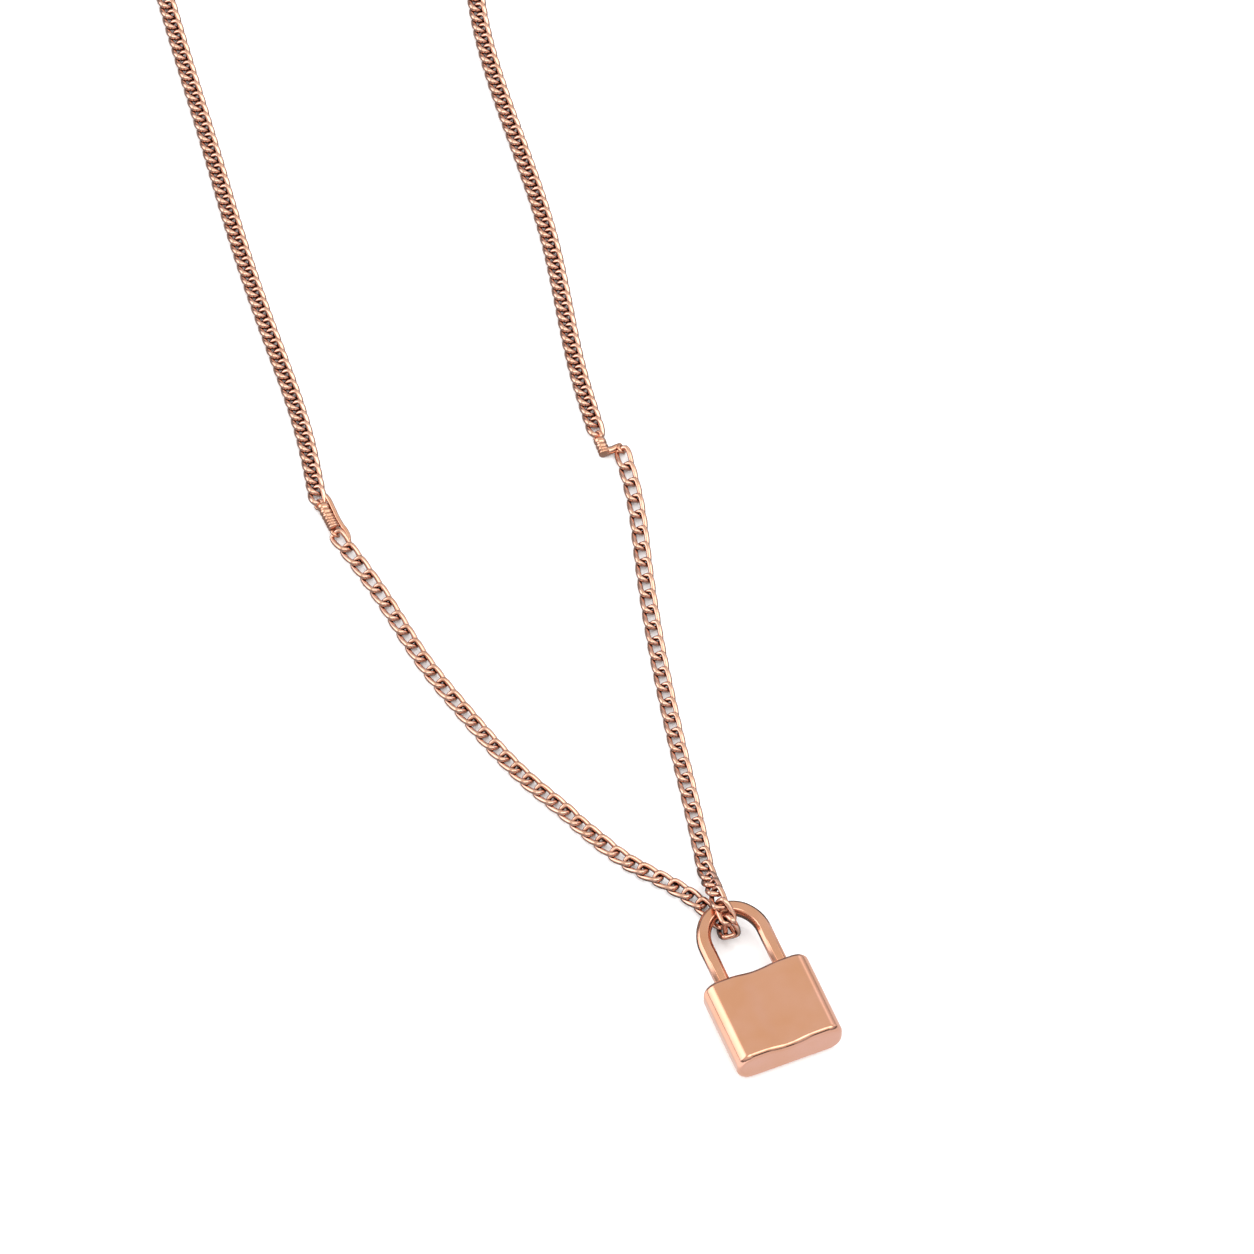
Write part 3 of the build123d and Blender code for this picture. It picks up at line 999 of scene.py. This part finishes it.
@dataclass
class Studio:
    """A pale table, a soft room round it and the camera where the photographer stood.

    Attributes:
        target: What the camera looks at.
        elevation: Height of the camera over the table, in degrees.
        azimuth: Turn of the camera round the lock, in degrees.
        distance: From the target to the camera.
        lens: Focal length on a sensor 36 mm wide.
        clip: Nearest and farthest that it sees, in metres.
        table_height: Height of the table's top.
        table_half: Half the width of the table.
        paper: What the table is made of.
        card: The card that the metal mirrors in the table's place.
        even: Brightness of the room, as it lights the table.
        room: Brightness of the room at the horizon and overhead, as the metal mirrors it.
        climb: Sine of the height at which the room has its overhead brightness.
        least: Brightness of the room's darkest patches.
        warm: Sines of the heights between which its light turns warm.
        warm_tint: Linear colour of the warm light.
        softboxes: The brighter and darker patches of the room.
        key_place: Where the light that casts the pendant's soft shadow hangs, in metres.
        key_size: Its width and height, in metres.
        key_watts: Its power.
    """

    target: Point = (5.306, 58.311, 0.0)
    elevation: float = 58.0
    azimuth: float = -22.4
    distance: float = 1500.0
    lens: float = 354.71
    clip: tuple[float, float] = (0.05, 20.0)
    table_height: float = -0.03
    table_half: float = 3000.0
    paper: MattCard = MattCard()
    card: ReflectorCard = ReflectorCard()
    even: float = 1.9
    room: tuple[float, float] = (0.08, 0.88)
    climb: float = 0.6
    least: float = 0.02
    warm: tuple[float, float] = (0.35, 0.8)
    warm_tint: tuple[float, float, float, float] = (1.03, 0.995, 0.84, 1.0)
    softboxes: tuple[Softbox, ...] = (
        Softbox((-0.80, 0.49, 0.33), 18, 32, 1.85),
        Softbox((0.75, 0.49, 0.44), 2, 9, 0.4),
        Softbox((0.87, 0.49, 0.00), 15, 32, 0.6),
        Softbox((0.90, 0.10, 0.30), 5, 14, 0.6),
        Softbox((-0.25, -0.24, 0.94), 8, 18, 2.2),
        Softbox((0.20, -0.25, 0.95), 8, 16, 1.8),
        Softbox((0.60, -0.25, 0.76), 8, 18, 2.2),
        Softbox((0.20, -0.87, 0.45), 6, 16, -0.8),
        Softbox((0.20, -0.97, 0.05), 8, 16, 0.8),
    )
    key_place: Point = (0.9, 0.9, 1.3)
    key_size: tuple[float, float] = (0.4, 0.4)
    key_watts: float = 8.0

    def camera(self) -> None:
        """Places the camera."""
        turn, rise = math.radians(self.azimuth), math.radians(self.elevation)
        back = Vector((math.sin(turn) * math.cos(rise), -math.cos(turn) * math.cos(rise), math.sin(rise)))
        data = bpy.data.cameras.new("camera")
        data.lens = self.lens
        data.sensor_width = 36.0
        data.clip_start, data.clip_end = self.clip
        camera = bpy.data.objects.new("camera", data)
        camera.location = (Vector(self.target) + back * self.distance) * MM
        camera.rotation_mode = "QUATERNION"
        camera.rotation_quaternion = (-back).to_track_quat("-Z", "Y")
        bpy.context.scene.collection.objects.link(camera)
        bpy.context.scene.camera = camera

    def sheet(self, name: str, height: float, material: bpy.types.Material) -> bpy.types.Object:
        """Lays one large flat sheet under the pendant.

        Args:
            name: Name of the sheet.
            height: Height of its top.
            material: What it is made of.

        Returns:
            The sheet, which is stage and no part of the pendant.
        """
        bm = bmesh.new()
        level = Matrix.Translation((0, 0, height))
        bmesh.ops.create_grid(bm, x_segments=1, y_segments=1, size=self.table_half, matrix=level)
        bmesh.ops.scale(bm, vec=(MM, MM, MM), verts=bm.verts)
        mesh = bpy.data.meshes.new(name)
        bm.to_mesh(mesh)
        bm.free()
        mesh.materials.append(material)
        sheet = bpy.data.objects.new(name, mesh)
        bpy.context.scene.collection.objects.link(sheet)
        sheet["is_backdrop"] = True
        return sheet

    def table(self) -> None:
        """Lays the pale table, which the metal doesn't mirror."""
        table = self.sheet("table", self.table_height, self.paper.material())
        table.visible_glossy = False

    def reflector(self) -> None:
        """Lays the card that the metal mirrors, lit round the lock and shaded behind it."""
        card = self.card
        glow = bpy.data.materials.new("MattReflectorCard")
        glow.use_nodes = True
        tree = glow.node_tree
        tree.nodes.clear()
        spot = add_node(tree, "ShaderNodeTexCoord").outputs["Object"]
        plan = add_node(tree, "ShaderNodeSeparateXYZ", inputs={0: spot}).outputs
        aside = add_node(tree, "ShaderNodeMath", {"operation": "ABSOLUTE"}, {0: plan["X"]}).outputs[0]
        beyond = add_node(
            tree, "ShaderNodeMath", {"operation": "SUBTRACT"}, {0: aside, 1: card.back_half * MM}
        ).outputs[0]
        outside = add_node(tree, "ShaderNodeMath", {"operation": "MAXIMUM"}, {0: beyond, 1: 0.0}).outputs[0]
        depth = add_node(
            tree,
            "ShaderNodeMath",
            {"operation": "MULTIPLY_ADD"},
            {0: outside, 1: -card.back_slant, 2: plan["Y"]},
        ).outputs[0]
        # Each fade goes from the shade before it to the brightness of its own part.
        shade = card.left
        for where, fade, brightness in (
            (plan["X"], card.left_fade, card.near),
            (depth, card.back_fade, card.behind),
            (plan["Y"], card.chain_fade, card.along),
        ):
            shade = add_node(
                tree,
                "ShaderNodeMapRange",
                {"interpolation_type": "SMOOTHSTEP"},
                {
                    "Value": where,
                    "From Min": fade[0] * MM,
                    "From Max": fade[1] * MM,
                    "To Min": shade,
                    "To Max": brightness,
                },
            ).outputs["Result"]
        light = add_node(tree, "ShaderNodeEmission", inputs={"Strength": shade})
        add_node(tree, "ShaderNodeOutputMaterial", inputs={"Surface": light.outputs[0]})
        reflector = self.sheet("reflector", self.table_height - card.drop, glow)
        reflector.visible_camera = False
        reflector.visible_diffuse = False
        reflector.visible_shadow = False

    def key_light(self) -> None:
        """Hangs the soft box that casts the pendant's soft shadow on the table."""
        data = bpy.data.lights.new("key", "AREA")
        data.shape = "RECTANGLE"
        data.size, data.size_y = self.key_size
        data.energy = self.key_watts
        lamp = bpy.data.objects.new("key", data)
        lamp.location = self.key_place
        lamp.rotation_mode = "QUATERNION"
        aim = Vector(self.target) * MM - Vector(self.key_place)
        lamp.rotation_quaternion = aim.to_track_quat("-Z", "Y")
        lamp.visible_glossy = False
        bpy.context.scene.collection.objects.link(lamp)

    def mirrored_room(self, tree: bpy.types.NodeTree) -> bpy.types.NodeSocket:
        """Draws the room as the metal mirrors it: warm above, dimmer at the horizon, with its soft boxes.

        Args:
            tree: The world's nodes.

        Returns:
            The room's shader output.
        """
        way = add_node(tree, "ShaderNodeTexCoord").outputs["Generated"]
        height = add_node(tree, "ShaderNodeSeparateXYZ", inputs={0: way}).outputs["Z"]
        horizon, overhead = self.room
        climb = add_node(
            tree,
            "ShaderNodeMapRange",
            {"interpolation_type": "SMOOTHSTEP"},
            {"Value": height, "From Min": 0.0, "From Max": self.climb, "To Min": horizon, "To Max": overhead},
        )
        # What shades is taken from the walls, and what brightens is added up apart from them, untinted.
        totals = {True: climb.outputs["Result"], False: 0.0}
        for box in self.softboxes:
            facing = add_node(
                tree,
                "ShaderNodeVectorMath",
                {"operation": "DOT_PRODUCT"},
                {0: way, 1: Vector(box.way).normalized()},
            )
            fade = add_node(
                tree,
                "ShaderNodeMapRange",
                {"interpolation_type": "SMOOTHSTEP"},
                {
                    "Value": facing.outputs["Value"],
                    "From Min": math.cos(math.radians(box.edge)),
                    "From Max": math.cos(math.radians(box.core)),
                    "To Max": box.strength,
                },
            )
            shades = box.strength < 0
            totals[shades] = add_node(
                tree, "ShaderNodeMath", {"operation": "ADD"}, {0: totals[shades], 1: fade.outputs["Result"]}
            ).outputs[0]
        walls = add_node(
            tree, "ShaderNodeMath", {"operation": "MAXIMUM"}, {0: totals[True], 1: self.least}
        ).outputs[0]
        warmth = add_node(
            tree,
            "ShaderNodeMapRange",
            {"interpolation_type": "SMOOTHSTEP"},
            {"Value": height, "From Min": self.warm[0], "From Max": self.warm[1]},
        )
        tint = add_node(
            tree,
            "ShaderNodeMix",
            {"data_type": "RGBA"},
            {"Factor": warmth.outputs["Result"], MIX_FIRST: WHITE, MIX_SECOND: self.warm_tint},
        ).outputs[MIX_RESULT]
        room = add_node(tree, "ShaderNodeBackground", inputs={"Color": tint, "Strength": walls})
        boxes = add_node(tree, "ShaderNodeBackground", inputs={"Color": WHITE, "Strength": totals[False]})
        both = add_node(tree, "ShaderNodeAddShader", inputs={0: room.outputs[0], 1: boxes.outputs[0]})
        return both.outputs[0]

    def world(self) -> None:
        """Lights the table evenly and gives the metal the room to mirror."""
        world = bpy.data.worlds.new("room")
        world.use_nodes = True
        tree = world.node_tree
        tree.nodes.clear()
        room = self.mirrored_room(tree)
        even = add_node(tree, "ShaderNodeBackground", inputs={"Color": WHITE, "Strength": self.even})
        path = add_node(tree, "ShaderNodeLightPath")
        mix = add_node(
            tree,
            "ShaderNodeMixShader",
            inputs={0: path.outputs["Is Glossy Ray"], 1: even.outputs[0], 2: room},
        )
        add_node(tree, "ShaderNodeOutputWorld", inputs={"Surface": mix.outputs[0]})
        bpy.context.scene.world = world

    def build(self) -> None:
        """Sets up the camera, the table, the card in it, the room, the light and plain colour."""
        self.camera()
        self.table()
        self.reflector()
        self.world()
        self.key_light()
        bpy.context.scene.view_settings.view_transform = "Standard"
        LOG.info("studio ready")


# The long open links that hang through the shackle, and the short close ones above.
COARSE = Link(wire=0.66, reach=1.47, half=0.8, twist=-36.0)
FINE = Link(wire=0.69, reach=1.225, half=0.84, twist=-42.0)
CHAINS = (
    Chain("lower_chain", 68, COARSE, lift=0.05),
    Chain("upper_chain_left", 75, FINE),
    Chain("upper_chain_right", 77, FINE),
)
RIBBED_ENDS = (
    CoilEnd(
        "coil_end_left",
        top=(-22.6, 88.3, 0.75),
        bottom=(-22.45, 84.5, 0.75),
        horn=(
            (-22.78, 85.2, 0.7, 0.34), (-22.78, 84.8, 0.6, 0.34), (-22.72, 84.55, 0.57, 0.3),
            (-22.69, 84.48, 0.57, 0.2),
        ),
        upper_eye=(-22.919, 88.55, 0.703),
        upper_pull=(0.203, 0.979, 0.0),
        lower_eye=(-22.6, 84.0, 0.568),
        lower_pull=(0.189, -0.982, 0.0),
        rail=(
            (-21.75, 89.7, 0.7, 0.24), (-21.58, 88.8, 0.78, 0.32), (-21.58, 87.3, 0.82, 0.34),
            (-21.6, 85.8, 0.82, 0.34), (-21.5, 84.7, 0.82, 0.33), (-21.3, 83.8, 0.78, 0.31),
            (-21.25, 83.0, 0.7, 0.29), (-21.4, 82.3, 0.62, 0.24),
        ),
    ),
    CoilEnd(
        "coil_end_right",
        top=(12.3, 84.3, 0.75),
        bottom=(12.15, 81.9, 0.75),
        horn=(
            (12.2, 83.3, 0.75, 0.5), (12.2, 82.6, 0.74, 0.66), (12.6, 82.28, 0.7, 0.6),
            (13.25, 82.3, 0.64, 0.48), (13.9, 82.48, 0.59, 0.4), (14.38, 82.55, 0.57, 0.32),
            (14.46, 82.42, 0.57, 0.2),
        ),
        upper_eye=(12.328, 84.749, 0.703),
        upper_pull=(0.134, 0.991, 0.0),
        lower_eye=(14.35, 82.0, 0.568),
        lower_pull=(-0.169, -0.986, 0.0),
    ),
)


def corners() -> list[list[float]]:
    """The shown object's lowest and highest corners, as plain lists in metres."""
    return [list(corner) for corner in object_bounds()]


def main() -> None:
    """Builds the pendant round its CAD frame."""
    logging.basicConfig(level=logging.INFO, format="%(name)s %(message)s")
    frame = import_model()
    Studio().build()
    dresser = Dresser()
    LockCase().build(dresser)
    Shackle().build(dresser)
    for chain in CHAINS:
        chain.build(dresser, frame["nodes"][chain.node])
    for ribbed_end in RIBBED_ENDS:
        ribbed_end.build(dresser)
    dresser.dress(frame["nodes"]["clasp"], Finish.TUMBLED_WIRE)
    LOG.info("pendant finished")


if __name__ == "__main__":
    main()
